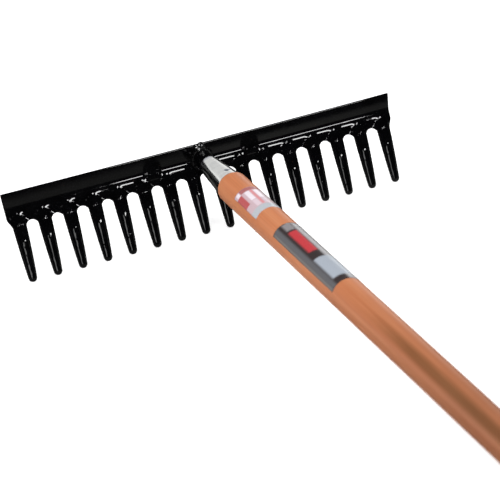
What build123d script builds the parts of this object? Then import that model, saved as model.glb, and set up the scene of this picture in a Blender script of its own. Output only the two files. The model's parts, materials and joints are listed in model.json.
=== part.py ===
from build123d import *
import os
from math import asin, cos, degrees, radians, sin, tan

# Garden rake with a pressed steel head, a plated ferrule and a wooden handle. Millimetres and degrees.
# It lies as it would on a floor: tooth tips and handle butt on z = 0, head along X, handle towards -Y.
# The origin is the centre of its footprint.

# Head: one steel pressing, with a flange above the bend and channel-shaped teeth below it
sheet = 2.3
tooth_count = 16
tooth_pitch = 25.5
tooth_length = 70.7
tooth_root_width = 13.7
tooth_tip_width = 8.8
gap_width = 12.0
gap_top_depth = 12.2
rib_start_depth = 5.5
flange_height = 17.0
flange_tilt = 17.4
flange_half_length = 202.6
bend_half_length = 201.25

# Darts: gussets pressed forwards, which bridge the bend
dart_pitches_from_centre = 2
dart_half_width = 6.5
dart_above_bend = 12.0
dart_below_bend = 8.0

# Handle axis: its angle from the teeth, and how far above the bend it meets the tooth plane
tooth_to_handle_angle = 68.2
axis_above_bend = 1.9

# Places along the handle axis, measured from the tooth plane
ferrule_mouth_at = 22.7
neck_end_at = 30.0
tenon_start_at = 34.0
nail_at = 71.0
ferrule_end_at = 82.0
front_label_from = 123.5
front_label_to = 176.5
tang_end_at = 205.0
bore_end_at = 207.0
rear_label_from = 217.0
rear_label_to = 348.0
handle_end_at = 1345.0

# Sizes across the handle axis
handle_radius = 15.5
shoulder_round = 2.2
butt_round = 9.0
ferrule_mouth_radius = 10.0
ferrule_end_radius = 14.3
ferrule_wall = 1.2
neck_radius = 8.7
tang_radius = 6.0
tang_point_length = 12.0
fit_gap = 0.1

# Nail through ferrule, tenon and tang
nail_radius = 1.2
nail_head_radius = 2.4
nail_head_height = 0.9
nail_end_depth = 9.0
nail_gap = 0.05

# Labels wrapped over the handle's upper side
label_thickness = 0.12
label_gap = 0.02
front_label_wrap = 126.0
rear_label_wrap = 132.0

# Welds between neck and head
neck_weld_end_at = 7.0
neck_weld_slope = 0.55
crown_weld_radius = 7.0
crown_weld_sink = 2.4
crown_weld_height = 11.4

# Derived sizes
root_radius = tooth_root_width / 2
tip_radius = tooth_tip_width / 2
gap_radius = gap_width / 2
web_depth = gap_top_depth + gap_radius
tip_centre_depth = tooth_length - tip_radius
tooth_taper = (root_radius - tip_radius) / (tip_centre_depth - web_depth)
rib_top_radius = (root_radius + tooth_taper * (web_depth - rib_start_depth)) / (1 + tooth_taper)
flange_up = Vector(0, -sin(radians(flange_tilt)), cos(radians(flange_tilt)))
flange_back = Vector(0, cos(radians(flange_tilt)), sin(radians(flange_tilt)))
ferrule_slope = (ferrule_end_radius - ferrule_mouth_radius) / (ferrule_end_at - ferrule_mouth_at)
far = 60.0


# The head is modelled upright: bend line on X, tooth plane on y = 0 with its teeth down, handle side -Y.

def prism(outline, half_length):
    """A prism along X, centred on x = 0, with the given (y, z) outline."""
    face = make_face(Polyline([(0, y, z) for y, z in outline], close=True))
    return extrude(face, amount=half_length, dir=(1, 0, 0), both=True)


def space_behind_front_face():
    """All the space behind the front faces of flange and tooth plane."""
    top = flange_up * far
    return prism([(0, 0), (top.Y, top.Z), (far, far), (far, -far), (0, -far)], flange_half_length)


def bent_plate():
    """Flange and web, bent along X, with ends that flare towards the flange's top edge."""
    front_top = flange_up * flange_height
    back_top = front_top + flange_back * sheet
    back_bend = sheet * tan(radians(flange_tilt / 2))
    plate = prism([(0, 0), (front_top.Y, front_top.Z), (back_top.Y, back_top.Z), (sheet, back_bend),
                   (sheet, -web_depth), (0, -web_depth)], flange_half_length)
    outer_bend = plate.edges().filter_by(Axis.X).sort_by_distance((0, sheet, back_bend))[0]
    plate = fillet(outer_bend, 2 * sheet)
    for side in (-1, 1):
        beyond_end = make_face(Polyline([
            (side * bend_half_length, 0, -far),
            (side * bend_half_length, 0, 0),
            (side * flange_half_length, 0, flange_height),
            (side * flange_half_length, 0, far),
            (side * (flange_half_length + far), 0, far),
            (side * (flange_half_length + far), 0, -far)], close=True))
        plate -= extrude(beyond_end, amount=far, dir=(0, 1, 0), both=True)
    return plate


def tooth_form(inset):
    """Half of a round-ended taper, shrunk by inset, standing on the sheet's back face towards -Y."""
    top = rib_top_radius - inset
    tip = tip_radius - inset
    top_z = -(rib_start_depth + rib_top_radius)
    tip_z = -tip_centre_depth
    tangent = asin((top - tip) / (top_z - tip_z))
    top_touch = (top * cos(tangent), 0, top_z - top * sin(tangent))
    tip_touch = (tip * cos(tangent), 0, tip_z - tip * sin(tangent))
    outline = Polyline([(0, 0, tip_touch[2]), tip_touch, top_touch, (0, 0, top_touch[2])], close=True)
    form = revolve(make_face(outline), Axis.Z)
    form += Pos(0, 0, top_z) * Sphere(top)
    form += Pos(0, 0, tip_z) * Sphere(tip)
    front_half = Pos(0, -far / 2, -far) * Box(far, far, 2 * far)
    return Pos(0, sheet, 0) * (form & front_half)


def tooth_places():
    """The x of every tooth's centre line."""
    return [(i - (tooth_count - 1) / 2) * tooth_pitch for i in range(tooth_count)]


def gap_places():
    """The x of every gap's centre line, with half a gap outside each end tooth."""
    return [(i - tooth_count / 2) * tooth_pitch for i in range(tooth_count + 1)]


def dart_wedge():
    """What a dart adds in front of the bend, as a flat facet from flange to web."""
    front_high = flange_up * dart_above_bend
    return prism([(sheet / 2, 0), (front_high.Y, front_high.Z), (0, -dart_below_bend)], dart_half_width)


def dart_hollow():
    """The space that a dart leaves behind the sheet."""
    back_high = flange_up * dart_above_bend + flange_back * sheet
    return prism([(sheet, -dart_below_bend), (back_high.Y, back_high.Z), (far, back_high.Z),
                  (far, -dart_below_bend)], dart_half_width)


def rake_head():
    """The whole pressing: plate, round-topped gaps, hollow-backed teeth and the two darts."""
    head = bent_plate()
    gap_tool = Rot(X=90) * Cylinder(gap_radius, far)
    for x in gap_places():
        head -= Pos(x, 0, -web_depth) * gap_tool
    dart_x = dart_pitches_from_centre * tooth_pitch
    wedge = dart_wedge()
    hollow = dart_hollow()
    head += [Pos(x, 0, 0) * wedge for x in (-dart_x, dart_x)]
    head -= [Pos(x, 0, 0) * hollow for x in (-dart_x, dart_x)]
    outer = tooth_form(0)
    inner = tooth_form(sheet)
    head += [Pos(x, 0, 0) * outer for x in tooth_places()]
    head -= [Pos(x, 0, 0) * inner for x in tooth_places()]
    return head


# Pieces on the handle axis are turned about Z, with Z running from the head to the butt and +Y the upper side.

def turned(outline, arc=360.0):
    """A solid turned about Z from its (radius, height) outline, with its arc centred on the upper side."""
    face = make_face(Polyline([(r, 0, z) for r, z in outline], close=True))
    return Rot(Z=90 - arc / 2) * revolve(face, Axis.Z, revolution_arc=arc)


def ferrule_radius(at):
    """The ferrule's outside radius at a place along the handle axis."""
    return ferrule_mouth_radius + ferrule_slope * (at - ferrule_mouth_at)


def nail_rod(radius, end_depth):
    """A rod on the nail's line, from the top of the nail's head to end_depth beyond the handle axis."""
    length = ferrule_radius(nail_at) + nail_head_height + end_depth
    return Pos(0, length / 2 - end_depth, nail_at) * Rot(X=90) * Cylinder(radius, length)


def nail_hole():
    """The space that the nail needs in every piece that it passes through."""
    return nail_rod(nail_radius + nail_gap, nail_end_depth + fit_gap)


def ferrule():
    """Tapering sleeve with the nail's hole in its upper side."""
    sleeve = turned([
        (ferrule_mouth_radius - ferrule_wall, ferrule_mouth_at),
        (ferrule_mouth_radius, ferrule_mouth_at),
        (ferrule_end_radius, ferrule_end_at),
        (ferrule_end_radius - ferrule_wall, ferrule_end_at)])
    return sleeve - nail_hole()


def ferrule_nail():
    """Nail with a low head that sits down on the ferrule's cone."""
    cone = turned([(0, ferrule_mouth_at), (ferrule_mouth_radius, ferrule_mouth_at),
                   (ferrule_end_radius, ferrule_end_at), (0, ferrule_end_at)])
    head_top = ferrule_radius(nail_at) + nail_head_height
    head_block = Pos(0, head_top / 2, nail_at) * Rot(X=90) * Cylinder(nail_head_radius, head_top)
    head = head_block - cone
    return head + nail_rod(nail_radius, nail_end_depth)


def handle():
    """Pole with a tapered tenon, a rounded shoulder, a bore for the tang and a rounded butt."""
    tenon_inset = ferrule_wall + fit_gap
    shoulder_at = ferrule_end_at + fit_gap
    bore_radius = tang_radius + fit_gap
    pole = turned([
        (0, bore_end_at),
        (bore_radius, bore_end_at),
        (bore_radius, tenon_start_at),
        (ferrule_radius(tenon_start_at) - tenon_inset, tenon_start_at),
        (ferrule_end_radius - tenon_inset, shoulder_at),
        (handle_radius, shoulder_at),
        (handle_radius, handle_end_at),
        (0, handle_end_at)])
    shoulder_rim = pole.edges().sort_by_distance((handle_radius, 0, shoulder_at))[0]
    pole = fillet(shoulder_rim, shoulder_round)
    butt_rim = pole.edges().sort_by_distance((handle_radius, 0, handle_end_at))[0]
    pole = fillet(butt_rim, butt_round)
    return pole - nail_hole()


def tang_bar():
    """Neck and tang in one bar, with a pointed end and the nail's hole, before the neck meets the head."""
    bar = turned([
        (0, -far / 4),
        (neck_radius, -far / 4),
        (neck_radius, neck_end_at),
        (tang_radius, neck_end_at + (neck_radius - tang_radius)),
        (tang_radius, tang_end_at - tang_point_length),
        (0, tang_end_at)])
    return bar - nail_hole()


def neck_weld_cone():
    """The cone of weld round the neck, before it meets the head."""
    reach = neck_weld_end_at + far / 4
    return turned([
        (neck_radius, neck_weld_end_at),
        (neck_radius, -far / 4),
        (neck_radius + neck_weld_slope * reach, -far / 4)])


def crown_weld_ball():
    """The lump of weld on the flange above the neck, before it meets the other pieces."""
    centre = flange_up * crown_weld_height + flange_back * crown_weld_sink
    return Pos(centre) * Sphere(crown_weld_radius)


def label(start, end, wrap):
    """A thin label over the handle's upper side."""
    inner = handle_radius + label_gap
    outer = inner + label_thickness
    return turned([(inner, start), (outer, start), (outer, end), (inner, end)], wrap)


# Assembly

def handle_slope():
    """The handle's slope, in degrees, at which the tooth tips and the butt touch one floor."""
    slope = 0.0
    for _ in range(12):
        lean = radians(90 - tooth_to_handle_angle - slope)
        tips_below_axis = (axis_above_bend + tooth_length) * cos(lean) + sheet * sin(lean)
        butt_below_axis = (handle_radius - butt_round) * cos(radians(slope)) + butt_round
        rise = tips_below_axis - butt_below_axis
        slope = degrees(asin(rise / (handle_end_at - butt_round)))
    return slope


def assemble():
    """Every piece in the head's upright frame."""
    angle = radians(tooth_to_handle_angle)
    handle_axis = Plane(origin=(0, 0, axis_above_bend), x_dir=(1, 0, 0), z_dir=(0, -sin(angle), -cos(angle)))
    on_axis = handle_axis.location
    head = rake_head()
    middle_teeth = [Pos(x, 0, 0) * tooth_form(0) for x in (-tooth_pitch / 2, tooth_pitch / 2)]
    behind_head = space_behind_front_face() + middle_teeth
    tang = on_axis * tang_bar() - behind_head
    neck_weld = on_axis * neck_weld_cone() - behind_head
    crown_weld = crown_weld_ball() - behind_head - on_axis * neck_weld_cone() - on_axis * tang_bar()
    return {
        "rake_head": head,
        "tang": tang,
        "neck_weld": neck_weld,
        "crown_weld": crown_weld,
        "ferrule": on_axis * ferrule(),
        "ferrule_nail": on_axis * ferrule_nail(),
        "handle": on_axis * handle(),
        "front_label": on_axis * label(front_label_from, front_label_to, front_label_wrap),
        "rear_label": on_axis * label(rear_label_from, rear_label_to, rear_label_wrap),
    }


def on_floor(pieces):
    """The pieces leaned back into the resting pose, with the footprint's centre at the origin."""
    lean = 90 - tooth_to_handle_angle - handle_slope()
    leaned = {name: Rot(X=-lean) * piece for name, piece in pieces.items()}
    boxes = [piece.bounding_box() for piece in leaned.values()]
    back = max(box.max.Y for box in boxes)
    front = min(box.min.Y for box in boxes)
    lowest = min(box.min.Z for box in boxes)
    shift = Pos(0, -(front + back) / 2, -lowest)
    return {name: shift * piece for name, piece in leaned.items()}


os.makedirs("parts", exist_ok=True)
for name, piece in on_floor(assemble()).items():
    export_step(piece, f"parts/{name}.step")
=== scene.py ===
import json
import math

import bmesh
import bpy
import numpy as np
from mathutils import Matrix, Vector, noise


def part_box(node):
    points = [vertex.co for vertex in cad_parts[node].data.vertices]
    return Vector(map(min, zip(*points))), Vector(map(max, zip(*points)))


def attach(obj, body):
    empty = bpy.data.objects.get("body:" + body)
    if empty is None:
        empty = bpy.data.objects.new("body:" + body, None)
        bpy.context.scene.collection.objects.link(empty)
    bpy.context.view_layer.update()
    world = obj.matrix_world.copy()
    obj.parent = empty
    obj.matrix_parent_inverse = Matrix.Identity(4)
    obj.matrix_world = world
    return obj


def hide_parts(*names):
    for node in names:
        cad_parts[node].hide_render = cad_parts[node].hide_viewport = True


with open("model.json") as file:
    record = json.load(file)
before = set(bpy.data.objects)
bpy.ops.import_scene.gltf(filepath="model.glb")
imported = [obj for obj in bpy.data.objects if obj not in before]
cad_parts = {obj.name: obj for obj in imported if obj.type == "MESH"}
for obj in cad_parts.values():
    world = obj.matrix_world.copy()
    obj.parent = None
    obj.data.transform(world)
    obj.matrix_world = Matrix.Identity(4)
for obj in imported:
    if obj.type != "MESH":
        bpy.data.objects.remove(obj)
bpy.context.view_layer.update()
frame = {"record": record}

# Shapes are worked out in millimetres and written to meshes in metres.
MM = 0.001

# The pressed head
SHEET = 2.3
TOOTH_COUNT = 16
PITCH = 25.5
TOOTH_LENGTH = 70.7
PAINTED_LENGTH = 71.4
TIP_LENGTH = 4.2
TIP_HALF_WIDTH = 4.3
ROOT_HALF_WIDTH = 6.9
GAP_HALF_WIDTH = PITCH / 2 - ROOT_HALF_WIDTH
GAP_HEIGHT = 5.5
GAP_TOP = 13.5
GAP_CENTRE = GAP_TOP + GAP_HEIGHT
TIP_CENTRE = PAINTED_LENGTH - TIP_LENGTH
FLANGE_HEIGHT = 16.7
FLANGE_RISE_AT_ENDS = 0.7
FLANGE_TILT = math.radians(17.4)
FLANGE_FLARE = 1.2
END_OVERHANG = 10.7
END_STRAIGHT = 7.0
TOOTH_TO_HANDLE = math.radians(68.2)
AXIS_ABOVE_BEND = 1.9

# Relief of the pressing, measured from the tooth plane towards the handle side
BEND_RADIUS = 13.0
BEND_SHIFT = -1.0
BEND_END = BEND_SHIFT + BEND_RADIUS * FLANGE_TILT / 2
BEND_START = BEND_SHIFT - BEND_RADIUS * FLANGE_TILT / 2
CREST_LOW, CREST_HIGH = 4.1, 4.8
CREST_FROM, CREST_TO = 6.5, 12.5
CROWN, CROWN_AT, CROWN_REACH = 0.12, 12.4, 1.8
CREST_KNEE = 31.0
TIP_CREST = 2.3
RIB_FLAT = 1.2
RIB_FLANK = 6.3
RECESS_DEPTH = 1.3
RECESS_TOP = 3.3
RECESS_SIDE = 1.4
RECESS_WALL = 12.0
RECESS_CORNER = 4.8
WEB_SWELL, SWELL_FROM = 0.0065, 3.5
RIM_PLANE = -0.6
RIM_BULGE = 0.5
WALL = 2.0
WRINKLE = 0.46
RUNS = 0.09
DART_PITCHES = 2
DART_HALF_WIDTH, DART_SIDE = 9.0, 4.0
DART_ABOVE, DART_BELOW = 11.0, 8.0

# Rows and columns of the pressing's mesh
FAN_ROWS, TOP_COLUMNS, ACROSS = 24, 8, 32
TOOTH_ROWS, TIP_ROWS = 36, 8
BEND_ROWS, FLANGE_ROWS = 12, 14
RIM_RINGS = 4

# Along the handle axis, from the tooth plane
NECK_END, TANG_END = 30.0, 205.0
FERRULE_FROM, FERRULE_TO = 22.7, 82.0
NAIL_AT = 71.0
FRONT_LABEL = (123.5, 176.5)
REAR_LABEL = (217.0, 348.0)
HANDLE_END = 1345.0

# Across the handle axis
HANDLE_RADIUS = 15.5
FERRULE_MOUTH, FERRULE_MAX, FERRULE_WALL = 10.0, 14.3, 1.2
NECK_RADIUS, TANG_RADIUS = 8.7, 6.0
NAIL_RADIUS, NAIL_PROUD = 13.5, 0.55
DIMPLE_DEPTH, DIMPLE_REACH = 0.55, 4.2
LABEL_RADIUS = HANDLE_RADIUS + 0.02
LABEL_THICKNESS = 0.12

# Grain of the pole, and its streak: radians round from the upper side, and colour against the wood beside it
WOOD_DARK, WOOD_MIDDLE, WOOD_LIGHT = (0.50, 0.155, 0.055), (0.57, 0.20, 0.082), (0.61, 0.235, 0.105)
STREAK_ANGLE = -0.45
STREAK_TONE = (0.57, 0.60, 0.48)

# The camera: metres from the middle of the head's bend, and the lens in millimetres
CAMERA_FROM = Vector((-0.6817, -2.0998, 0.8616))
CAMERA_AT = Vector((0.0206, -0.0466, -0.0857))
CAMERA_ROLL = math.radians(-7.84)
CAMERA_LENS, CAMERA_SENSOR, CAMERA_F_STOP = 175.2, 36.0, 14.0

# Prints: millimetres along the film (from, to), across it (from, to), and a colour; the rear film's first
# block is a painted sheen along its left edge, not print.
PINK, RED, WHITE = (0.60, 0.44, 0.48), (0.50, 0.095, 0.10), (0.84, 0.76, 0.82)
BLUSH, ROSE, SILVER = (0.55, 0.45, 0.46), (0.72, 0.28, 0.30), (0.48, 0.51, 0.55)
DARK, SLATE, GREY = (0.045, 0.034, 0.034), (0.12, 0.12, 0.13), (0.33, 0.32, 0.33)
FRONT_BLOCKS = [
    (0, 7, -10, 17, (0.42, 0.15, 0.15)),
    (1.5, 7.5, -14.5, -10.5, WHITE),
    (8, 30, -17.2, -10.2, RED),
    (8, 27, -6.8, -2.0, WHITE),
    (8, 27, 1.8, 6.5, WHITE),
    (28, 41, -6.8, -2.0, (0.72, 0.58, 0.64)),
    (28, 41, 1.8, 6.5, (0.66, 0.54, 0.60)),
    (7.5, 41, -1.4, 1.2, ROSE),
    (7.5, 42, 7.4, 17.1, BLUSH),
    (42.5, 53, -17.1, 17.1, SILVER),
]
REAR_BLOCKS = [
    # painted sheen: a lighter grey strip along the rear film's left edge, where light glances off it
    (0, 131, -17.9, -14.6, (0.17, 0.16, 0.155)),
    (0, 131, -14.6, -9.8, SLATE),
    (0, 131, 2.9, 17.9, GREY),
    (18, 65, -6.5, 2.2, (0.54, 0.045, 0.055)),
    (1, 15, -6, 2.2, (0.27, 0.25, 0.26)),
    (79, 121, -8.6, 13, (0.38, 0.42, 0.48)),
    (0, 131, 11.5, 17.9, (0.48, 0.46, 0.45)),
]

# Lights: offset in metres from the middle of the head's bend, width, height, radiance
OPEN_PANELS = [
    ("left_panel", (-0.52, -1.83, 0.18), 0.50, 0.17, 3.0),
    ("right_panel", (0.56, -1.61, 0.347), 0.435, 0.13, 20.0),
    ("top_panel", (-0.3, -0.6, 1.9), 1.4, 1.2, 5.0),
]
PLATED_PANELS = [
    ("backdrop_card", (0.0, 1.8, 0.62), 4.2, 1.35, 0.76),
    ("front_card", (0.0, -3.2, 0.9), 4.2, 1.8, 0.7),
    ("left_card", (-2.6, -0.6, 0.8), 2.6, 1.5, 0.7),
    ("right_card", (2.6, -0.6, 0.8), 2.6, 1.5, 0.7),
    ("overhead_card", (0.0, 0.2, 2.4), 3.4, 3.4, 0.7),
]
POLE_PANELS = [("side_panel", (0.95, 1.60, 0.20), 0.9, 0.5, 1.3)]
WELD_PANELS = [("weld_panel", (-0.25, -1.70, 0.75), 1.2, 0.65, 36.0)]
PLATED_PIECES = ("plated_ferrule", "ferrule_nail_domed")
POLE_PIECES = ("wooden_handle", "front_label_film", "rear_label_film")


# Places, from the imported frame

pole_mount = next(m for m in frame["record"]["mounts"] if m["name"] == "pole")
pole_axis = Vector(pole_mount["axis"]).normalized()
pole_point = Vector(pole_mount["pos_m"])
slope = math.asin(-pole_axis.z)
lean = math.pi / 2 - TOOTH_TO_HANDLE - slope
tooth_down = Vector((0, -math.sin(lean), -math.cos(lean)))
tooth_out = Vector((0, -math.cos(lean), math.sin(lean)))
bend_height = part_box("rake_head")[0].z + MM * (TOOTH_LENGTH * math.cos(lean) + SHEET * math.sin(lean))
axis_start_height = bend_height + MM * AXIS_ABOVE_BEND * math.cos(lean)
axis_start = pole_point + pole_axis * (axis_start_height - pole_point.z) / pole_axis.z
bend_centre = axis_start + tooth_down * MM * AXIS_ABOVE_BEND
pole_up = Vector((1, 0, 0)).cross(pole_axis) * -1


def head_to_frame(points):
    """Head coordinates in mm (along X, down the teeth, towards the handle) as frame points in metres."""
    axes = np.array([(1, 0, 0), tuple(tooth_down), tuple(tooth_out)])
    return np.asarray(points, float) @ axes * MM + np.array(bend_centre)


def pole_to_frame(points):
    """Pole coordinates in mm (along X, up, away from the head) as frame points in metres."""
    axes = np.array([(1, 0, 0), tuple(pole_up), tuple(pole_axis)])
    return np.asarray(points, float) @ axes * MM + np.array(axis_start)


# Mesh helpers

def smoothstep(q):
    """A soft step from 0 to 1 as q goes from 0 to 1."""
    q = np.clip(q, 0, 1)
    return q * q * (3 - 2 * q)


def grid_faces(rows, columns, flip=False, start=0):
    """Quads of a rows by columns grid of points."""
    faces = []
    for r in range(rows - 1):
        for c in range(columns - 1):
            a = start + r * columns + c
            quad = (a, a + 1, a + columns + 1, a + columns)
            faces.append(quad[::-1] if flip else quad)
    return faces


def make_piece(name, points, faces, material, replaces=None):
    """A smooth-shaded mesh object from frame points in metres, riding on the one body."""
    mesh = bpy.data.meshes.new(name)
    mesh.from_pydata([tuple(p) for p in points], [], faces)
    mesh.validate()
    shell = bmesh.new()
    shell.from_mesh(mesh)
    bmesh.ops.recalc_face_normals(shell, faces=shell.faces)
    shell.to_mesh(mesh)
    shell.free()
    piece = bpy.data.objects.new(name, mesh)
    bpy.context.scene.collection.objects.link(piece)
    mesh.polygons.foreach_set("use_smooth", [True] * len(mesh.polygons))
    mesh.materials.append(material)
    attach(piece, "root")
    if replaces:
        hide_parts(*replaces)
    return piece


def store_vectors(piece, name, vectors):
    """Keeps a vector for each vertex, for the piece's material to read."""
    attribute = piece.data.attributes.new(name, "FLOAT_VECTOR", "POINT")
    attribute.data.foreach_set("vector", np.asarray(vectors, np.float32).ravel())


# The head

def crest_height(t):
    """Height of a tooth's crest: it rises below the bend, runs level, then falls towards the tip."""
    rise = (CREST_HIGH - CREST_LOW) / (CREST_KNEE - CREST_TO)
    fall = (CREST_HIGH - TIP_CREST) / (TIP_CENTRE - CREST_KNEE)
    past_knee = t - CREST_KNEE
    bent = 0.5 * (past_knee + np.sqrt(past_knee * past_knee + 0.4))
    ridge = CREST_HIGH + rise * past_knee - (rise + fall) * bent
    crown = CROWN * np.exp(-((t - CROWN_AT) / CROWN_REACH) ** 2)
    return (ridge + crown) * smoothstep((t - CREST_FROM) / (CREST_TO - CREST_FROM))


def ledge(q, start, end):
    """A step from 0 to 1 with a rounded start and end and a straight ramp between them."""
    rise = np.where(q < start, q * q / (2 * start), q - start / 2)
    rise = np.where(q > 1 - end, 1 - start / 2 - end / 2 - (1 - q) ** 2 / (2 * end), rise)
    return rise / (1 - start / 2 - end / 2)


def web_height(x, t):
    """Relief of the sheet at distance x from a tooth's centre line: crest, and the recess over each gap."""
    inside = x - RECESS_SIDE
    below = t - RECESS_TOP
    cut = np.hypot(np.maximum(RECESS_CORNER - inside, 0), np.maximum(RECESS_CORNER - below, 0))
    depth = np.where(cut > 0, RECESS_CORNER - cut, np.minimum(inside, below))
    recess = RECESS_DEPTH * ledge(np.clip(depth / RECESS_WALL, 0, 1), 0.3, 0.2)
    rib = 1 - ledge(np.clip((x - RIB_FLAT) / RIB_FLANK, 0, 1), 0.5, 0.3)
    from_middle = np.maximum(PITCH / 2 - x - SWELL_FROM, 0)
    swell = WEB_SWELL * from_middle ** 2 * smoothstep((t + 1) / 4) * smoothstep((12 - t) / 5)
    return np.maximum(crest_height(t), 0) * rib + swell - recess


def pressing_marks(x, t, tooth):
    """Small wrinkles where the rib of each tooth begins."""
    window = smoothstep((t - 5.5) / 3) * smoothstep((19 - t) / 5) * smoothstep((7.5 - np.abs(x + 1)) / 3)
    marks = np.zeros_like(x)
    for i in np.nonzero(window > 0)[0]:
        place = Vector((x[i] / 2.0, t[i] / 2.5, 0.35 * math.sin(tooth * 2.1)))
        marks[i] = WRINKLE * window[i] * (noise.noise(place) + 0.55 * noise.noise(place * 2.1))
    return marks


def enamel_runs(x, t, tooth):
    """Unevenness of the enamel down the teeth, which breaks up the light along their crests."""
    window = smoothstep((t - 20) / 6) * (np.abs(x) < 7.5)
    runs = np.zeros_like(x)
    for i in np.nonzero(window > 0)[0]:
        place = Vector((x[i] / 2.2, t[i] / 3.0, 1.7 * tooth + 0.4))
        runs[i] = RUNS * window[i] * noise.noise(place)
    return runs


def dart_height(x, tau):
    """How far the darts press the sheet forwards at x along the whole head: facets that bridge the bend."""
    from_dart = np.abs(np.abs(x) - DART_PITCHES * PITCH)
    ridge = FLANGE_TILT * DART_ABOVE * DART_BELOW / (DART_ABOVE + DART_BELOW)
    rounded = np.sqrt(np.clip(1 - (from_dart / DART_HALF_WIDTH) ** 2, 0.05, 1))
    above = ridge * (1 + tau / (DART_ABOVE * rounded))
    below = ridge * (1 - tau / DART_BELOW)
    facet = 0.5 * (above + below - np.sqrt((above - below) ** 2 + 0.3))
    raised = 0.5 * (facet + np.sqrt(facet ** 2 + 0.02))
    return raised * smoothstep((DART_HALF_WIDTH - from_dart) / DART_SIDE)


def tooth_half_width(t):
    """Half of a tooth's width below the gap's centre."""
    along = (t - GAP_CENTRE) / (TIP_CENTRE - GAP_CENTRE)
    return ROOT_HALF_WIDTH + (TIP_HALF_WIDTH - ROOT_HALF_WIDTH) * (0.5 * along + 0.5 * along * along)


def half_cell(at_end):
    """Half a tooth and the web beside it, as rows of points from the gap's edge to the centre line."""
    q = np.linspace(0, 1, ACROSS + 1)
    eta = (1 - q) * math.pi / 2
    rows = []
    side = END_OVERHANG if at_end else PITCH / 2
    for k in range(FAN_ROWS + 1):
        share = k / FAN_ROWS
        blend = float(smoothstep((share - 0.3) / 0.7))
        if at_end:
            inner_t = BEND_END + (GAP_CENTRE - BEND_END) * share
            narrowed = float(smoothstep((inner_t - END_STRAIGHT) / (GAP_CENTRE - END_STRAIGHT)))
            inner_x = side + (ROOT_HALF_WIDTH - side) * narrowed
            inner_x -= RIM_BULGE * (1 - blend)
        else:
            angle = share * math.pi / 2
            bulge = RIM_BULGE * (1 - blend)
            inner_x = PITCH / 2 - (GAP_HALF_WIDTH + bulge) * math.sin(angle)
            inner_t = GAP_CENTRE - (GAP_HEIGHT + bulge) * math.cos(angle)
        edge = side - RIM_BULGE if at_end else side
        if k <= TOP_COLUMNS:
            outer_x, outer_t = edge * (1 - k / TOP_COLUMNS), BEND_END
        else:
            down = (k - TOP_COLUMNS) / (FAN_ROWS - TOP_COLUMNS)
            outer_x, outer_t = 0.0, BEND_END + (GAP_CENTRE - BEND_END) * down
        x = inner_x + (outer_x - inner_x) * q
        t = inner_t + (outer_t - inner_t) * q
        w = web_height(x, t)
        lean_in = 1 - np.sin(eta)
        crest = max(float(crest_height(np.float64(outer_t))), 0.0)
        tooth = np.stack([inner_x + (outer_x - inner_x) * lean_in,
                          inner_t + (outer_t - inner_t) * lean_in,
                          RIM_PLANE + (crest - RIM_PLANE) * np.cos(eta)], 1)
        rows.append((1 - blend) * np.stack([x, t, w], 1) + blend * tooth)
    for j in range(1, TOOTH_ROWS + TIP_ROWS + 1):
        if j <= TOOTH_ROWS:
            t = GAP_CENTRE + (TIP_CENTRE - GAP_CENTRE) * j / TOOTH_ROWS
            width, height = tooth_half_width(t), float(crest_height(np.float64(t))) - RIM_PLANE
        else:
            psi = (j - TOOTH_ROWS) / TIP_ROWS * math.pi / 2
            t = TIP_CENTRE + TIP_LENGTH * math.sin(psi)
            width = TIP_HALF_WIDTH * math.cos(psi)
            height = (float(crest_height(np.float64(TIP_CENTRE))) - RIM_PLANE) * math.cos(psi)
        level = np.full_like(q, t)
        rows.append(np.stack([width * np.sin(eta), level, RIM_PLANE + height * np.cos(eta)], 1))
    return np.array(rows)


def around_bend(x, tau, w):
    """Head coordinates of a point tau down the sheet from the bend and raised w from the sheet."""
    phi = np.clip((BEND_END - tau) / BEND_RADIUS, 0, FLANGE_TILT)
    past = np.maximum(BEND_START - tau, 0)
    before = np.maximum(tau - BEND_END, 0)
    t = BEND_END - BEND_RADIUS * np.sin(phi) - past * math.cos(FLANGE_TILT) + before
    out = BEND_RADIUS * (1 - np.cos(phi)) + past * math.sin(FLANGE_TILT)
    return np.stack([x, t + w * np.sin(phi), out + w * np.cos(phi)], -1)


def head_front():
    """The sheet's front face: (points in head coordinates, quads), with doubles along the seams."""
    points, faces, tops = [], [], set()
    cells = {False: half_cell(False), True: half_cell(True)}
    for i in range(TOOTH_COUNT):
        centre = (i - (TOOTH_COUNT - 1) / 2) * PITCH
        for side in (-1, 1):
            at_end = (i == 0 and side < 0) or (i == TOOTH_COUNT - 1 and side > 0)
            cell = cells[at_end].copy()
            cell[..., 0] = centre + side * cell[..., 0]
            tops.update(np.round(cell[:TOP_COLUMNS + 1, -1, 0], 6))
            start = sum(len(p) for p in points)
            rows, columns = cell.shape[:2]
            flat = cell.reshape(-1, 3)
            across = flat[:, 0] - centre
            relief = pressing_marks(across, flat[:, 1], i) + enamel_runs(across, flat[:, 1], i)
            flat[:, 2] += relief + dart_height(flat[:, 0], flat[:, 1])
            points.append(flat)
            faces += grid_faces(rows, columns, flip=side < 0, start=start)
    xs = np.array(sorted(tops))
    bend_rows = np.linspace(BEND_END, BEND_START, BEND_ROWS)
    flange_rows = np.linspace(BEND_START, RIM_BULGE - FLANGE_HEIGHT, FLANGE_ROWS)[1:]
    taus = np.concatenate([bend_rows, flange_rows])
    x, tau = np.meshgrid(xs, taus)
    height = FLANGE_HEIGHT + FLANGE_RISE_AT_ENDS * (x / xs.max()) ** 2
    flare = 1 + FLANGE_FLARE / xs.max() * np.clip(-tau / FLANGE_HEIGHT, 0, 1)
    stretch = (height + BEND_START) / (FLANGE_HEIGHT + BEND_START)
    tau = np.where(tau < BEND_START, BEND_START + (tau - BEND_START) * stretch, tau)
    start = sum(len(p) for p in points)
    points.append(around_bend(x * flare, tau, dart_height(x, tau)).reshape(-1, 3))
    faces += grid_faces(len(taus), len(xs), start=start)
    return np.concatenate(points), faces


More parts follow.
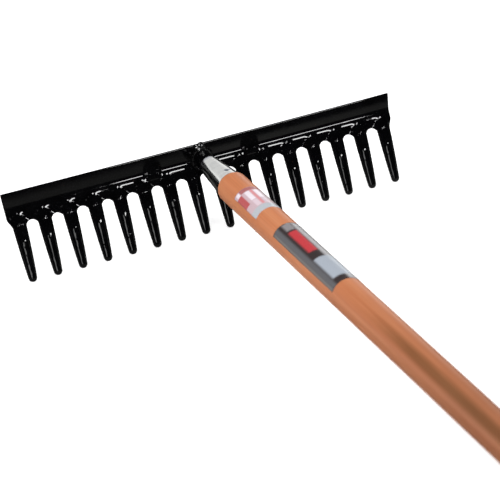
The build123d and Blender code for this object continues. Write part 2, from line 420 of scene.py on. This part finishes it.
def thicken(points, faces):
    """Closes a front face into a sheet: a back face WALL behind it, and a rounded rim between the two."""
    bm = bmesh.new()
    verts = [bm.verts.new(p) for p in points]
    for face in faces:
        bm.faces.new([verts[i] for i in face])
    bmesh.ops.remove_doubles(bm, verts=bm.verts, dist=0.002)
    bmesh.ops.dissolve_degenerate(bm, edges=bm.edges, dist=0.0005)
    bm.normal_update()
    bm.verts.index_update()
    front = np.array([v.co for v in bm.verts])
    normals = np.array([v.normal for v in bm.verts])
    quads = [[v.index for v in f.verts] for f in bm.faces]
    outward = np.zeros_like(front)
    rim_edges = []
    for edge in bm.edges:
        if len(edge.link_faces) != 1:
            continue
        face = edge.link_faces[0]
        loop = next(l for l in face.loops if l.edge == edge)
        a, b = loop.vert.index, loop.link_loop_next.vert.index
        direction = np.cross(front[b] - front[a], np.array(face.normal))
        direction /= np.linalg.norm(direction)
        outward[a] += direction
        outward[b] += direction
        rim_edges.append((a, b))
    bm.free()
    count = len(front)
    rim = sorted({i for edge in rim_edges for i in edge})
    place = {v: n for n, v in enumerate(rim)}
    outs = outward[rim]
    outs -= (outs * normals[rim]).sum(1)[:, None] * normals[rim]
    outs /= np.linalg.norm(outs, axis=1)[:, None]
    everything = [front, front - normals * WALL]
    for ring in range(1, RIM_RINGS + 1):
        theta = math.pi * ring / (RIM_RINGS + 1)
        depth = WALL * (1 - math.cos(theta)) / 2
        everything.append(front[rim] - normals[rim] * depth + outs * RIM_BULGE * math.sin(theta))
    out_faces = list(quads)
    out_faces += [[i + count for i in reversed(q)] for q in quads]

    def ring_vertex(ring, v):
        if ring == 0:
            return v
        if ring == RIM_RINGS + 1:
            return v + count
        return 2 * count + (ring - 1) * len(rim) + place[v]

    for a, b in rim_edges:
        for ring in range(RIM_RINGS + 1):
            out_faces.append([ring_vertex(ring, b), ring_vertex(ring, a),
                              ring_vertex(ring + 1, a), ring_vertex(ring + 1, b)])
    return np.concatenate(everything), out_faces


def build_head(material):
    """The pressed head: one closed sheet with its flange, web, darts and teeth."""
    front, faces = head_front()
    points, faces = thicken(head_to_frame(front) / MM, faces)
    return make_piece("rake_head_pressing", points * MM, faces, material, ["rake_head"])


# Round pieces on the pole's axis

def turned(profile, segments, bumps):
    """Points of a profile turned round the pole's axis, ring by ring, in pole coordinates."""
    angles = np.linspace(0, 2 * math.pi, segments, endpoint=False)
    r = np.repeat(profile[:, :1], segments, 1)
    z = np.repeat(profile[:, 1:], segments, 1)
    a = np.repeat(angles[None], len(profile), 0)
    if bumps:
        r = r + bumps(z, a)
    return np.stack([r * np.sin(a), r * np.cos(a), z], -1).reshape(-1, 3)


def ring_faces(rings, segments, closed=False):
    """Quads between neighbouring rings of points, and from the last ring to the first if closed."""
    faces = []
    for i in range(rings if closed else rings - 1):
        n = (i + 1) % rings
        for j in range(segments):
            k = (j + 1) % segments
            faces.append((i * segments + j, i * segments + k, n * segments + k, n * segments + j))
    return faces


def lathe(profile, segments, bumps=None):
    """Points and faces of a closed turned solid whose profile starts and ends on the axis."""
    profile = np.asarray(profile, float)
    rings = len(profile) - 2
    points = turned(profile[1:-1], segments, bumps)
    faces = ring_faces(rings, segments)
    first, last = len(points), len(points) + 1
    points = np.concatenate([points, [(0, 0, profile[0, 1]), (0, 0, profile[-1, 1])]])
    base = (rings - 1) * segments
    for j in range(segments):
        k = (j + 1) % segments
        faces.append((first, k, j))
        faces.append((last, base + j, base + k))
    return points, faces


def sleeve(profile, segments, bumps=None):
    """Points and faces of a closed ring turned from a closed profile loop."""
    profile = np.asarray(profile, float)
    return turned(profile, segments, bumps), ring_faces(len(profile), segments, closed=True)


def arc_points(centre_r, centre_z, radius, start, end, count):
    """Profile points on an arc; angle 0 points outwards and 90 degrees towards the butt."""
    angles = np.radians(np.linspace(start, end, count))
    return [(centre_r + radius * math.cos(a), centre_z + radius * math.sin(a)) for a in angles]


def build_handle(material):
    """The pole, from its tenon to the rounded butt."""
    tenon_tip, tenon = 9.6, FERRULE_MAX - FERRULE_WALL - 0.1
    tenon_from, shoulder_at = FERRULE_FROM + 20, FERRULE_TO + 0.1
    shoulder, butt = 2.2, 9.0
    profile = [(0, tenon_from), (tenon_tip, tenon_from)]
    profile += [(tenon, shoulder_at), (HANDLE_RADIUS - shoulder, shoulder_at)]
    profile += arc_points(HANDLE_RADIUS - shoulder, shoulder_at + shoulder, shoulder, -80, 0, 8)
    profile += [(HANDLE_RADIUS, z) for z in np.linspace(FERRULE_TO + 4, HANDLE_END - butt, 160)]
    profile += arc_points(HANDLE_RADIUS - butt, HANDLE_END - butt, butt, 6, 90, 14)
    profile += [(3.0, HANDLE_END), (0, HANDLE_END)]

    def wander(z, a):
        free = smoothstep((z - FERRULE_TO - 6) / 40) * smoothstep((HANDLE_END - 12 - z) / 40)
        return 0.04 * free * (np.sin(z / 23 + 2 * a) + np.sin(z / 61 - a))

    points, faces = lathe(profile, 112, wander)
    piece = make_piece("wooden_handle", pole_to_frame(points), faces, material, ["handle"])
    store_vectors(piece, "pole_place", points * MM)
    return piece


def build_ferrule(material):
    """The plated sleeve, with rounded lips and a dimple round the nail."""
    lip = FERRULE_WALL / 2
    outer_slope = (FERRULE_MAX - FERRULE_MOUTH) / (FERRULE_TO - FERRULE_FROM)
    profile = arc_points(FERRULE_MOUTH - lip, FERRULE_FROM + lip, lip, 180, 360, 9)
    for z in np.linspace(FERRULE_FROM + 2, FERRULE_TO - 2, 60):
        profile.append((FERRULE_MOUTH + outer_slope * (z - FERRULE_FROM), z))
    profile += arc_points(FERRULE_MAX - lip, FERRULE_TO - lip, lip, 0, 180, 9)
    for z in np.linspace(FERRULE_TO - 2, FERRULE_FROM + 2, 30):
        profile.append((FERRULE_MOUTH - FERRULE_WALL + outer_slope * (z - FERRULE_FROM), z))

    def dimple(z, a):
        angle = (a + math.pi) % (2 * math.pi) - math.pi
        q = np.clip(np.hypot(angle * NAIL_RADIUS, z - NAIL_AT) / DIMPLE_REACH, 0, 1)
        return -DIMPLE_DEPTH * (1 - q * q) ** 2 + 0.02 * np.sin(z / 4.3 + 3 * a)

    points, faces = sleeve(profile, 160, dimple)
    points_in_frame = pole_to_frame(points)
    piece = make_piece("plated_ferrule", points_in_frame, faces, material, ["ferrule"])
    store_vectors(piece, "pole_place", points * MM)
    return piece


def build_tang(material):
    """Neck and tang in one closed bar."""
    profile = [(0, -3.0), (NECK_RADIUS, -3.0)]
    profile += [(NECK_RADIUS, z) for z in np.linspace(-2, NECK_END, 24)]
    profile += [(TANG_RADIUS, NECK_END + 3), (TANG_RADIUS, TANG_END - 12), (0, TANG_END)]

    def forged(z, a):
        return np.where(z < NECK_END, 0.12 * np.sin(z / 2.1 + 2 * a) + 0.1 * np.sin(3 * a + z / 5), 0)

    points, faces = lathe(profile, 72, forged)
    return make_piece("welded_tang", pole_to_frame(points), faces, material, ["tang"])


def build_nail(material):
    """The nail: a low domed head in the ferrule's dimple, on a shank that crosses the pole's axis."""
    head, shank, segments = 2.0, 1.2, 32
    top = NAIL_RADIUS + NAIL_PROUD
    profile = [(0, top), (0.7, top - 0.03), (1.3, top - 0.12), (1.75, top - 0.32), (head, top - 0.6),
               (head - 0.05, top - 0.85), (shank, top - 0.95), (shank, -8.0), (0.4, -9.0), (0, -9.0)]
    points, faces = lathe(profile[::-1], segments)
    points = pole_to_frame(np.stack([points[:, 0], points[:, 2], NAIL_AT + points[:, 1]], 1))
    faces = [face[::-1] for face in faces]
    return make_piece("ferrule_nail_domed", points, faces, material, ["ferrule_nail"])


def build_label(name, node, span, wrap, material):
    """A thin film on the pole: a front and a back face, and the edge between them."""
    rows, columns = 60, 48
    half = math.radians(wrap) / 2
    along, around = np.linspace(span[0], span[1], rows), np.linspace(-half, half, columns)
    z, a = np.meshgrid(along, around, indexing="ij")
    outer = LABEL_RADIUS + LABEL_THICKNESS
    front = np.stack([outer * np.sin(a), outer * np.cos(a), z], -1).reshape(-1, 3)
    back = np.stack([LABEL_RADIUS * np.sin(a), LABEL_RADIUS * np.cos(a), z], -1).reshape(-1, 3)
    faces = grid_faces(rows, columns, flip=True)
    count = rows * columns
    faces += [tuple(i + count for i in reversed(f)) for f in faces]
    ring = list(range(columns))
    ring += [r * columns + columns - 1 for r in range(1, rows)]
    ring += [(rows - 1) * columns + c for c in range(columns - 2, -1, -1)]
    ring += [r * columns for r in range(rows - 2, 0, -1)]
    for i, v in enumerate(ring):
        n = ring[(i + 1) % len(ring)]
        faces.append((v, n, n + count, v + count))
    points = np.concatenate([front, back])
    piece = make_piece(name, pole_to_frame(points), faces, material, [node])
    flat = np.stack([z - span[0], a * HANDLE_RADIUS, np.zeros_like(z)], -1).reshape(-1, 3)
    store_vectors(piece, "film_place", np.concatenate([flat, flat]))
    return piece


# Welds

def surface_along_axis(r, angle):
    """Where a line along the pole, r from its axis and angle from its upper side, meets the head's front."""
    up = r * math.cos(angle)
    flange_lean = TOOTH_TO_HANDLE - math.pi / 2 + FLANGE_TILT
    on_teeth = -up / math.tan(TOOTH_TO_HANDLE)
    bend_up = -AXIS_ABOVE_BEND * math.sin(TOOTH_TO_HANDLE)
    bend_at = AXIS_ABOVE_BEND * math.cos(TOOTH_TO_HANDLE)
    on_flange = bend_at + (up - bend_up) * math.tan(flange_lean)
    return max(on_teeth, on_flange)


def build_neck_weld(material):
    """The bead round the neck: a closed ring with weld ripples and uneven thickness."""
    around, section = 220, 24
    points = []
    for i in range(around):
        a = 2 * math.pi * i / around
        wobble = noise.noise(Vector((math.cos(a) * 1.3, math.sin(a) * 1.3, 4.0)))
        size = 2.6 + 0.6 * wobble + 0.28 * math.sin(17 * a + 2.5 * wobble)
        radius = NECK_RADIUS + 0.5 + 0.3 * wobble
        z = surface_along_axis(radius, a) + 0.7
        for j in range(section):
            b = 2 * math.pi * j / section
            r = radius + size * math.cos(b)
            points.append((r * math.sin(a), r * math.cos(a), z + size * 0.9 * math.sin(b)))
    faces = [face[::-1] for face in ring_faces(around, section, closed=True)]
    return make_piece("neck_weld_bead", pole_to_frame(points), faces, material, ["neck_weld"])


CROWN_LUMPS = [(-0.75, 0.15, 0.6), (-0.2, 0.55, 0.8), (0.45, 0.35, 0.8), (-0.35, -0.45, 0.8),
               (0.15, 0.95, 0.3), (-0.8, 0.7, 0.1), (0.6, -0.3, 0.7)]


def build_crown_weld(material):
    """Lumps of weld on the flange above the neck."""
    bm = bmesh.new()
    bmesh.ops.create_icosphere(bm, subdivisions=6, radius=1.0)
    up, out = -math.cos(FLANGE_TILT), math.sin(FLANGE_TILT)
    above_bend, sunk = 12.2, 0.4
    half_width, half_height, half_depth = 5.6, 4.9, 3.9
    centre = np.array((0, up * above_bend, out * above_bend - sunk))
    tops = [Vector(top).normalized() for top in CROWN_LUMPS]
    points = []
    for v in bm.verts:
        p = v.co.normalized()
        lumps = max(0.30 * math.exp(-(p.angle(top) / 0.42) ** 2) for top in tops)
        lumps += 0.07 * noise.noise(p * 4.5)
        x, rise, proud = p.x * half_width, p.y * half_height, p.z * half_depth
        scale = 1 + lumps
        points.append(centre + scale * np.array((x, rise * up, proud + rise * out)))
    faces = [[v.index for v in f.verts] for f in bm.faces]
    bm.free()
    points = head_to_frame(points)
    return make_piece("crown_weld_lumps", points, faces, material, ["crown_weld"])


# Materials

def node_maker(tree):
    """A function that adds a node to a tree, with links or values for its sockets."""
    def node(kind, links=None, **settings):
        made = tree.nodes.new("ShaderNode" + kind)
        for key, value in settings.items():
            setattr(made, key, value)
        for socket, source in (links or {}).items():
            if isinstance(source, bpy.types.NodeSocket):
                tree.links.new(source, made.inputs[socket])
            else:
                made.inputs[socket].default_value = source
        return made

    return node


def new_material(name):
    """A material, its Principled shader, its node function and a function that links to the shader."""
    material = bpy.data.materials.new(name)
    material.use_nodes = True
    tree = material.node_tree
    shader = tree.nodes["Principled BSDF"]

    def link(source, socket):
        tree.links.new(source, shader.inputs[socket])

    return material, shader, node_maker(tree), link


def shifted(node, value, low, high, start, end):
    """A value moved from the range low to high into the range start to end."""
    return node("MapRange", {"Value": value, "From Min": low, "From Max": high,
                             "To Min": start, "To Max": end}).outputs["Result"]


def multiplied(node, first, second, share=1.0):
    """The product of two colours, or a share of the way to it from the first."""
    mix = node("Mix", {0: share, 6: first, 7: second}, data_type="RGBA", blend_type="MULTIPLY")
    return mix.outputs[2]


def ramp_stops(ramp, stops):
    """Sets a colour ramp's stops from (place, colour) pairs."""
    elements = ramp.color_ramp.elements
    while len(elements) < len(stops):
        elements.new(0.5)
    for element, (place, colour) in zip(elements, stops):
        element.position = place
        element.color = (*colour, 1)


def enamel_material(name, smoothest, roughest):
    """Black stove enamel, with faint orange peel and a little dust in its roughness."""
    material, shader, node, link = new_material(name)
    place = node("TexCoord").outputs["Object"]
    tone = node("TexNoise", {"Vector": place, "Scale": 90.0, "Detail": 4.0})
    ramp = node("ValToRGB", {"Fac": tone.outputs["Fac"]})
    ramp_stops(ramp, [(0.3, (0.0008, 0.0008, 0.001)), (0.75, (0.0016, 0.0016, 0.002))])
    link(ramp.outputs["Color"], "Base Color")
    link(shifted(node, tone.outputs["Fac"], 0.3, 0.7, smoothest, roughest), "Roughness")
    peel = node("TexNoise", {"Vector": place, "Scale": 260.0, "Detail": 1.0})
    bump = node("Bump", {"Height": peel.outputs["Fac"], "Strength": 0.06, "Distance": 0.0001})
    link(bump.outputs["Normal"], "Normal")
    shader.inputs["IOR"].default_value = 1.5
    return material


def plating_material():
    """Bright plating with fine turned lines and a few dull patches."""
    material, shader, node, link = new_material("bright_plating")
    place = node("Attribute", attribute_name="pole_place").outputs["Vector"]
    stretched = node("Mapping", {"Vector": place, "Scale": (260.0, 260.0, 9.0)})
    lines = node("TexNoise", {"Vector": stretched.outputs["Vector"], "Scale": 6.0, "Detail": 6.0})
    patches = node("TexNoise", {"Vector": place, "Scale": 140.0, "Detail": 3.0})
    colour = node("ValToRGB", {"Fac": patches.outputs["Fac"]})
    ramp_stops(colour, [(0.3, (0.70, 0.71, 0.70)), (0.7, (0.80, 0.81, 0.79))])
    axes = node("SeparateXYZ", {"Vector": place})
    lip_from, lip_to = MM * (FERRULE_FROM + 1.0), MM * (FERRULE_FROM + 6.0)
    lip = shifted(node, axes.outputs["Z"], lip_from, lip_to, 0.55, 1.0)
    stain_centre = (MM * 2.5, MM * NAIL_RADIUS, MM * (NAIL_AT - 0.5))
    from_centre = node("VectorMath", {0: place, 1: stain_centre}, operation="SUBTRACT")
    oval = node("VectorMath", {0: from_centre.outputs[0], 1: (0.45, 0.3, 1.3)}, operation="MULTIPLY")
    from_stain = node("VectorMath", {0: oval.outputs[0]}, operation="LENGTH")
    stain = shifted(node, from_stain.outputs["Value"], MM * 0.5, MM * 3.0, 0.45, 1.0)
    dulling = node("Math", {0: lip, 1: stain}, operation="MULTIPLY")
    blue = node("Math", {0: dulling.outputs[0], 1: 0.8}, operation="POWER")
    grey = node("CombineColor", {"Red": dulling.outputs[0], "Green": dulling.outputs[0],
                                 "Blue": blue.outputs[0]})
    link(multiplied(node, colour.outputs["Color"], grey.outputs[0]), "Base Color")
    shader.inputs["Metallic"].default_value = 1.0
    link(shifted(node, patches.outputs["Fac"], 0.3, 0.7, 0.12, 0.18), "Roughness")
    bump = node("Bump", {"Height": lines.outputs["Fac"], "Strength": 0.02, "Distance": 0.0001})
    link(bump.outputs["Normal"], "Normal")
    return material


def nail_material():
    """Dull blued steel."""
    material, shader, node, link = new_material("blued_steel")
    place = node("TexCoord").outputs["Object"]
    tone = node("TexNoise", {"Vector": place, "Scale": 900.0, "Detail": 3.0})
    ramp = node("ValToRGB", {"Fac": tone.outputs["Fac"]})
    ramp_stops(ramp, [(0.3, (0.24, 0.27, 0.34)), (0.7, (0.42, 0.46, 0.53))])
    link(ramp.outputs["Color"], "Base Color")
    shader.inputs["Metallic"].default_value = 1.0
    shader.inputs["Roughness"].default_value = 0.35
    return material


def painted_shade_and_streak(node, place, wander):
    """Colour factor of the pole: painted shade that darkens it from 0.30 m to 0.60 m along its axis, where
    the light falls off, with one brown streak of grain.
    """
    axes = node("SeparateXYZ", {"Vector": place})
    # painted shade: the colour falls from 1.0 to 0.62 between 0.30 m and 0.60 m along the pole
    along = shifted(node, axes.outputs["Z"], 0.30, 0.60, 1.0, 0.62)
    around = node("Math", {0: axes.outputs["X"], 1: axes.outputs["Y"]}, operation="ARCTAN2").outputs[0]
    wandering = node("Math", {0: wander, 1: 0.3, 2: around}, operation="MULTIPLY_ADD").outputs[0]
    beside = node("Math", {0: wandering, 1: STREAK_ANGLE}, operation="SUBTRACT").outputs[0]
    away = node("Math", {0: beside}, operation="ABSOLUTE").outputs[0]
    across = node("MapRange", {"Value": away, "From Min": 0.08, "From Max": 0.50,
                               "To Min": 1.0, "To Max": 0.0}, interpolation_type="SMOOTHSTEP")
    begun = node("MapRange", {"Value": axes.outputs["Z"], "From Min": 0.39, "From Max": 0.50},
                 interpolation_type="SMOOTHSTEP")
    amount = node("Math", {0: across.outputs["Result"], 1: begun.outputs["Result"]}, operation="MULTIPLY")
    streak = node("ValToRGB", {"Fac": amount.outputs[0]})
    ramp_stops(streak, [(0.0, (1.0, 1.0, 1.0)), (1.0, STREAK_TONE)])
    return node("VectorMath", {0: streak.outputs["Color"], "Scale": along}, operation="SCALE").outputs[0]


def wood_material():
    """Varnished straight-grained wood: long fibres, soft bands and short pores under a clear coat."""
    material, shader, node, link = new_material("varnished_wood")
    place = node("Attribute", attribute_name="pole_place").outputs["Vector"]
    long_fibres = node("Mapping", {"Vector": place, "Scale": (1.0, 1.0, 0.035)})
    bands = node("TexNoise", {"Vector": long_fibres.outputs["Vector"], "Scale": 130.0, "Detail": 5.0,
                              "Distortion": 0.4})
    fine = node("Mapping", {"Vector": place, "Scale": (1.0, 1.0, 0.02)})
    fibres = node("TexNoise", {"Vector": fine.outputs["Vector"], "Scale": 900.0, "Detail": 6.0})
    broad = node("ValToRGB", {"Fac": bands.outputs["Fac"]})
    ramp_stops(broad, [(0.28, WOOD_DARK), (0.5, WOOD_MIDDLE), (0.72, WOOD_LIGHT)])
    grain = node("ValToRGB", {"Fac": fibres.outputs["Fac"]})
    ramp_stops(grain, [(0.35, (0.84, 0.80, 0.77)), (0.62, (1.0, 1.0, 1.0))])
    wood = multiplied(node, broad.outputs["Color"], grain.outputs["Color"], 0.55)
    # the wood colour is multiplied by the painted shade along the pole and by the grain streak
    link(multiplied(node, wood, painted_shade_and_streak(node, place, bands.outputs["Fac"])), "Base Color")
    link(shifted(node, fibres.outputs["Fac"], 0.3, 0.7, 0.42, 0.55), "Roughness")
    bump = node("Bump", {"Height": fibres.outputs["Fac"], "Strength": 0.25, "Distance": 0.0002})
    link(bump.outputs["Normal"], "Normal")
    shader.inputs["Coat Weight"].default_value = 0.35
    shader.inputs["Coat Roughness"].default_value = 0.28
    return material


def film_material(name, ground, blocks, softness):
    """Printed film: plain rectangles (along from and to, across from and to, colour) on a ground colour; a
    rectangle can also stand for painted sheen.
    """
    material, shader, node, link = new_material(name)
    place = node("Attribute", attribute_name="film_place").outputs["Vector"]
    axes = node("SeparateXYZ", {"Vector": place})
    colour = node("RGB").outputs[0]
    colour.default_value = (*ground, 1)
    for low_x, high_x, low_y, high_y, paint in blocks:
        inside = None
        for axis, low, high in (("X", low_x, high_x), ("Y", low_y, high_y)):
            for edge, sign in ((low, 1), (high, -1)):
                reach = softness * sign
                step = shifted(node, axes.outputs[axis], edge - reach, edge + reach, 0.0, 1.0)
                if inside is None:
                    inside = step
                else:
                    inside = node("Math", {0: inside, 1: step}, operation="MULTIPLY").outputs[0]
        colour = node("Mix", {0: inside, 6: colour, 7: (*paint, 1)}, data_type="RGBA").outputs[2]
    grain = node("TexNoise", {"Vector": place, "Scale": 0.9, "Detail": 5.0})
    shade = shifted(node, grain.outputs["Fac"], 0.3, 0.7, 0.88, 1.0)
    grey = node("CombineColor", {"Red": shade, "Green": shade, "Blue": shade})
    link(multiplied(node, colour, grey.outputs[0]), "Base Color")
    shader.inputs["Roughness"].default_value = 0.35
    shader.inputs["Coat Weight"].default_value = 0.4
    shader.inputs["Coat Roughness"].default_value = 0.2
    return material


# Stage

def floor_material():
    """Plain pale floor that reflections see as a bright sheet of paper on a dark floor."""
    material, shader, node, link = new_material("pale_floor")
    shader.inputs["Base Color"].default_value = (0.9, 0.9, 0.9, 1)
    shader.inputs["Roughness"].default_value = 0.9
    tree = material.node_tree
    rays = node("LightPath")
    place = node("SeparateXYZ", {"Vector": node("NewGeometry").outputs["Position"]})
    ahead = node("Math", {0: bend_centre.y, 1: place.outputs["Y"]}, operation="SUBTRACT").outputs[0]
    shader.inputs["Emission Color"].default_value = (1, 1, 1, 1)
    shader.inputs["Emission Strength"].default_value = 0.45
    rightward = shifted(node, place.outputs["X"], 0.055, 0.095, 0.0, 1.0)
    near_edge = shifted(node, rightward, 0.0, 1.0, 0.232, 0.229)
    far_edge = shifted(node, rightward, 0.0, 1.0, 0.256, 0.242)
    level = shifted(node, rightward, 0.0, 1.0, 0.17, 0.30)
    fading = shifted(node, place.outputs["X"], 0.18, 0.32, 1.0, 0.65)
    level = node("Math", {0: level, 1: fading}, operation="MULTIPLY").outputs[0]
    sheet = shifted(node, ahead, near_edge, far_edge, level, 0.012)
    in_front = shifted(node, ahead, 0.0, 0.02, 0.0, 1.0)
    strength = shifted(node, in_front, 0.0, 1.0, 0.07, sheet)
    seen = node("Emission", {"Strength": strength, "Color": (1, 1, 0.95, 1)})
    both = node("MixShader", {"Fac": rays.outputs["Is Glossy Ray"], 1: shader.outputs[0], 2: seen.outputs[0]})
    tree.links.new(both.outputs[0], tree.nodes["Material Output"].inputs["Surface"])
    return material


def build_floor():
    """A square of floor, 18 m wide."""
    mesh = bpy.data.meshes.new("floor")
    half = 9.0
    corners = [(-half, -half, 0), (half, -half, 0), (half, half, 0), (-half, half, 0)]
    mesh.from_pydata(corners, [], [(0, 1, 2, 3)])
    floor = bpy.data.objects.new("floor", mesh)
    bpy.context.scene.collection.objects.link(floor)
    mesh.materials.append(floor_material())


def build_world():
    """White for the camera, soft white for matt surfaces, and for gloss a dark room with a pale wall."""
    world = bpy.data.worlds.new("studio")
    bpy.context.scene.world = world
    world.use_nodes = True
    tree = world.node_tree
    node = node_maker(tree)
    axes = node("SeparateXYZ", {0: node("TexCoord").outputs["Generated"]})
    behind = shifted(node, axes.outputs["Y"], 0.3, 0.5, 0.0, 1.0)
    above = shifted(node, axes.outputs["Z"], 0.1, 0.3, 0.5, 0.0)
    wall = node("Math", {0: behind, 1: above}, operation="MULTIPLY").outputs[0]
    mirrored = tree.nodes["Background"]
    mirrored.inputs["Color"].default_value = (0.97, 0.99, 0.96, 1)
    tree.links.new(wall, mirrored.inputs["Strength"])
    soft = node("Background", {"Color": (1, 1, 1, 1), "Strength": 0.75})
    seen = node("Background", {"Color": (1, 1, 1, 1)})
    rays = node("LightPath").outputs
    lit = node("MixShader", {"Fac": rays["Is Glossy Ray"], 1: soft.outputs[0], 2: mirrored.outputs[0]})
    plain = node("MixShader", {"Fac": rays["Is Camera Ray"], 1: lit.outputs[0], 2: seen.outputs[0]})
    tree.links.new(plain.outputs[0], tree.nodes["World Output"].inputs["Surface"])


def add_panel(name, offset, width, height, radiance):
    """A soft rectangular light that faces the middle of the head from an offset in metres."""
    light = bpy.data.lights.new(name, "AREA")
    light.shape = "RECTANGLE"
    light.size, light.size_y = width, height
    light.energy = radiance * math.pi * width * height
    panel = bpy.data.objects.new(name, light)
    panel.location = bend_centre + Vector(offset)
    panel.rotation_mode = "QUATERNION"
    panel.rotation_quaternion = (-Vector(offset)).to_track_quat("-Z", "Y")
    bpy.context.scene.collection.objects.link(panel)
    return panel


def light_only(panel, names):
    """Keeps a panel's light to the named pieces."""
    receivers = bpy.data.collections.new(panel.name + "_receivers")
    for name in names:
        receivers.objects.link(bpy.data.objects[name])
    panel.light_linking.receiver_collection = receivers


def build_camera():
    """The camera stands to the left of the handle, above the head, and is rolled a little."""
    data = bpy.data.cameras.new("camera")
    data.lens, data.sensor_width = CAMERA_LENS, CAMERA_SENSOR
    camera = bpy.data.objects.new("camera", data)
    camera.location = bend_centre + CAMERA_FROM
    target = bend_centre + CAMERA_AT
    look = (target - camera.location).to_track_quat("-Z", "Y").to_matrix()
    camera.rotation_mode = "QUATERNION"
    camera.rotation_quaternion = (look @ Matrix.Rotation(CAMERA_ROLL, 3, "Z")).to_quaternion()
    focus = bpy.data.objects.new("focus_point", None)
    focus.location = bend_centre
    bpy.context.scene.collection.objects.link(focus)
    data.dof.use_dof = True
    data.dof.focus_object = focus
    data.dof.aperture_fstop = CAMERA_F_STOP
    bpy.context.scene.collection.objects.link(camera)
    bpy.context.scene.camera = camera


def build_lights():
    """The panels. Some keep to named pieces, and the panel on top isn't mirrored."""
    for panel in OPEN_PANELS:
        add_panel(*panel)
    bpy.data.objects["top_panel"].visible_glossy = False
    groups = (PLATED_PANELS, PLATED_PIECES), (POLE_PANELS, POLE_PIECES), (WELD_PANELS, ["crown_weld_lumps"])
    for panels, names in groups:
        for panel in panels:
            light_only(add_panel(*panel), names)


# Scene

enamel = enamel_material("gloss_black_enamel", 0.02, 0.06)
weld_enamel = enamel_material("enamel_over_weld", 0.2, 0.3)
build_head(enamel)
build_tang(enamel)
build_neck_weld(weld_enamel)
build_crown_weld(weld_enamel)
build_ferrule(plating_material())
build_nail(nail_material())
build_handle(wood_material())
front_print = film_material("front_film_print", PINK, FRONT_BLOCKS, 0.6)
rear_print_and_sheen = film_material("rear_film_print_and_sheen", DARK, REAR_BLOCKS, 1.2)
build_label("front_label_film", "front_label", FRONT_LABEL, 126.0, front_print)
build_label("rear_label_film", "rear_label", REAR_LABEL, 132.0, rear_print_and_sheen)

# The enamel doesn't mirror these.
for piece_name in POLE_PIECES + PLATED_PIECES:
    bpy.data.objects[piece_name].visible_glossy = False
build_floor()
build_world()
build_lights()
build_camera()
bpy.context.scene.view_settings.view_transform = "Standard"
